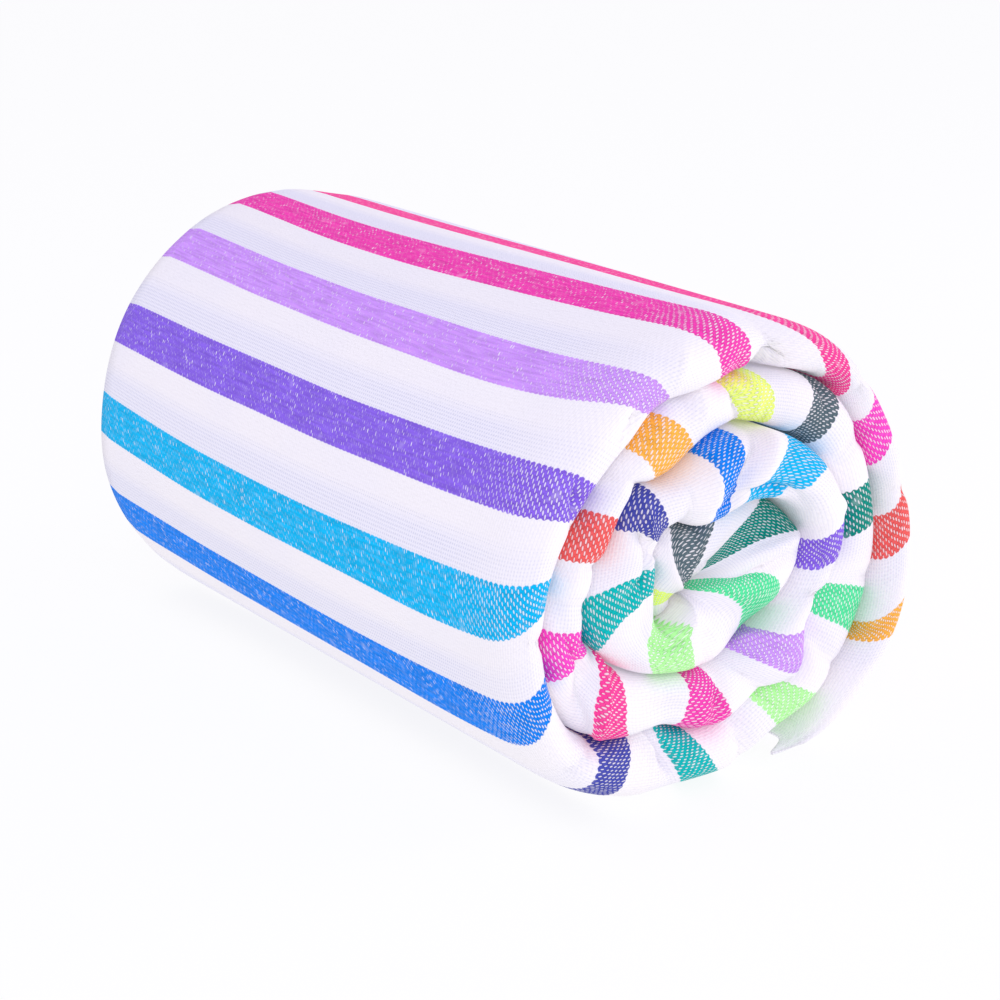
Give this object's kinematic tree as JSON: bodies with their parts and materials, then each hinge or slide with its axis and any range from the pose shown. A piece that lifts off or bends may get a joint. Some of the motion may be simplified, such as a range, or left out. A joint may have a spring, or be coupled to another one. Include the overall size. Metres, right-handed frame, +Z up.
{
  "type": "rolled beach blanket",
  "caption": "Soft woven cotton beach blanket with bright stripes, folded lengthwise and rolled up, lying on its side with the spiral of its folds at one end.",
  "frame": {"origin": "middle of the footprint of the lying roll, on the surface", "axes": "+Z up, Y along the roll's axis, with the spiral end of the picture at -Y and the loose end low on the +X side"},
  "size_m": [0.1896, 0.3296, 0.177],
  "materials": {
    "woven_cotton": "plain woven cotton, white with bright yarn-dyed stripes, matt"
  },
  "bodies": {
    "root": {"rolled_blanket": "woven_cotton"}
  },
  "joints": []
}
